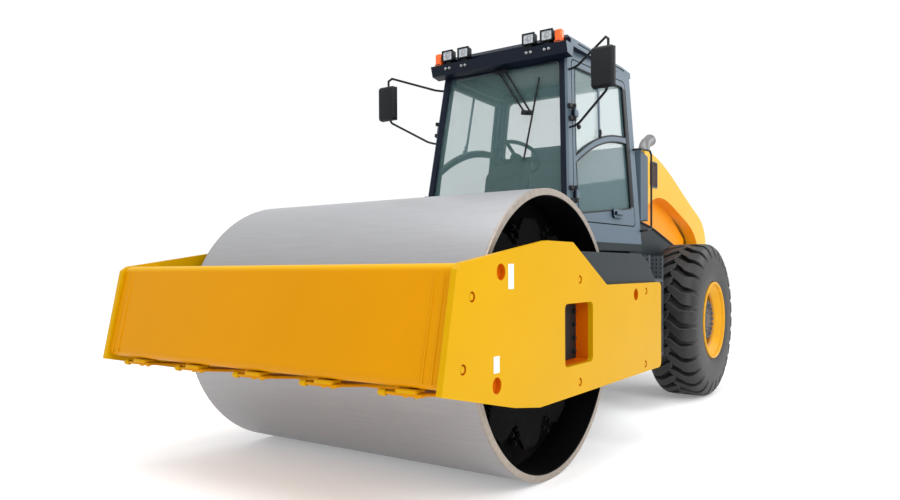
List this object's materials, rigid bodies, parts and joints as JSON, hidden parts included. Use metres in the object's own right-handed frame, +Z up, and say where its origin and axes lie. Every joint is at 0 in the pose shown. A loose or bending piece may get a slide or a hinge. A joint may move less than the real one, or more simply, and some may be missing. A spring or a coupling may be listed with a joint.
{
  "type": "road roller",
  "caption": "Single-drum road roller with articulated frame, smooth steel drum, hinged hood and glazed cab; compacts soil and asphalt.",
  "frame": {"origin": "on the ground, below the middle of the machine's length and width", "axes": "+X forward to the drum, +Y to the machine's left, +Z up"},
  "size_m": [5.882, 2.44, 2.917],
  "materials": {
    "yellow": "gloss paint",
    "amber": "gloss paint",
    "hood_yellow": "gloss paint",
    "slate": "satin paint",
    "cab_paint": "satin paint",
    "drum_steel": "brushed and worn",
    "drum_black": "matt paint",
    "steel": "machined",
    "chrome": "polished",
    "tyre": "worn rubber",
    "rubber": "matt",
    "rim_yellow": "gloss paint",
    "black": "matt",
    "glass": "clear",
    "mirror": "matt",
    "lamp": "clear lens",
    "orange": "tinted lens",
    "seat": "woven",
    "red": "tinted lens"
  },
  "bodies": {
    "rear_frame": {"chassis": "slate", "steering_pin": "steel", "rear_axle": "slate", "engine": "slate", "side_tanks": "slate", "rear_bumper": "slate", "cab_floor": "slate", "cab_frame": "cab_paint", "windshield": "glass", "rear_glass": "glass", "door_hinges": "black", "cab_roof": "cab_paint", "work_lamps": "lamp", "turn_signals": "orange", "mirror_arms": "black", "mirror_heads": "mirror", "grab_rails": "black", "corner_boxes": "cab_paint", "wiper": "black", "seat_base": "black", "seat": "seat", "console": "black", "steering_wheel": "black", "steps": "slate", "tail_lamps": "red"},
    "hitch": {"hitch": "slate"},
    "front_frame": {"side_plate_left": "yellow", "side_plate_right": "yellow", "front_beam": "amber", "scraper": "yellow", "drum_carriers": "amber", "carrier_plates": "yellow", "rear_yoke": "slate"},
    "drum": {"drum_shell": "drum_steel", "drum_heads": "drum_black", "exciter_housing": "drum_black", "drum_buffers": "rubber", "drive_discs": "drum_black"},
    "wheel_left": {"tyre_left": "tyre", "rim_left": "rim_yellow"},
    "wheel_right": {"tyre_right": "tyre", "rim_right": "rim_yellow"},
    "door_left": {"door_left": "cab_paint", "door_left_glass": "glass"},
    "door_right": {"door_right": "cab_paint", "door_right_glass": "glass"},
    "hood": {"hood": "hood_yellow", "hood_grilles": "black", "exhaust": "chrome"},
    "steer_barrel_left": {"steer_barrel_left": "slate"},
    "steer_barrel_right": {"steer_barrel_right": "slate"},
    "steer_rod_left": {"steer_rod_left": "chrome"},
    "steer_rod_right": {"steer_rod_right": "chrome"}
  },
  "joints": [
    {"name": "steer", "type": "hinge", "parent": "rear_frame", "child": "hitch", "pos_m": [0.109, 0, 0.78], "axis": [0, 0, -1], "range_deg": [-35, 35]},
    {"name": "oscillation", "type": "hinge", "parent": "hitch", "child": "front_frame", "pos_m": [0.324, 0, 0.78], "axis": [1, 0, 0], "range_deg": [-10, 10]},
    {"name": "drum_spin", "type": "hinge", "parent": "front_frame", "child": "drum", "pos_m": [1.679, 0, 0.8], "axis": [0, 1, 0], "continuous": true},
    {"name": "wheel_left_spin", "type": "hinge", "parent": "rear_frame", "child": "wheel_left", "pos_m": [-1.471, 0.887, 0.69], "axis": [0, 1, 0], "continuous": true},
    {"name": "wheel_right_spin", "type": "hinge", "parent": "rear_frame", "child": "wheel_right", "pos_m": [-1.471, -0.887, 0.69], "axis": [0, 1, 0], "continuous": true},
    {"name": "door_left_hinge", "type": "hinge", "parent": "rear_frame", "child": "door_left", "pos_m": [0.52495, 0.67662, 1.50225], "axis": [0.139, 0.0834, -0.9868], "range_deg": [0, 80]},
    {"name": "door_right_hinge", "type": "hinge", "parent": "rear_frame", "child": "door_right", "pos_m": [0.52495, -0.67662, 1.50225], "axis": [0.139, -0.0834, -0.9868], "range_deg": [-80, 0]},
    {"name": "hood_hinge", "type": "hinge", "parent": "rear_frame", "child": "hood", "pos_m": [-2.811, 0, 1.27], "axis": [0, -1, 0], "range_deg": [0, 50]},
    {"name": "cylinder_left_pivot", "type": "hinge", "parent": "rear_frame", "child": "steer_barrel_left", "pos_m": [-0.521, 0.26, 0.775], "axis": [0, 0, 1], "range_deg": [-8, 8]},
    {"name": "cylinder_right_pivot", "type": "hinge", "parent": "rear_frame", "child": "steer_barrel_right", "pos_m": [-0.521, -0.26, 0.775], "axis": [0, 0, 1], "range_deg": [-8, 8]},
    {"name": "cylinder_left_slide", "type": "slide", "parent": "steer_barrel_left", "child": "steer_rod_left", "axis": [0.9981, -0.0614, 0], "range_m": [-0.13, 0.13]},
    {"name": "cylinder_right_slide", "type": "slide", "parent": "steer_barrel_right", "child": "steer_rod_right", "axis": [0.9981, 0.0614, 0], "range_m": [-0.13, 0.13]}
  ],
  "couplings": [
    {"joint": "cylinder_left_pivot", "follows": "steer", "ratio": 0.0106},
    {"joint": "cylinder_right_pivot", "follows": "steer", "ratio": 0.0106},
    {"joint": "cylinder_left_slide", "follows": "steer", "m_per_rad": 0.2075},
    {"joint": "cylinder_right_slide", "follows": "steer", "m_per_rad": -0.2075}
  ]
}
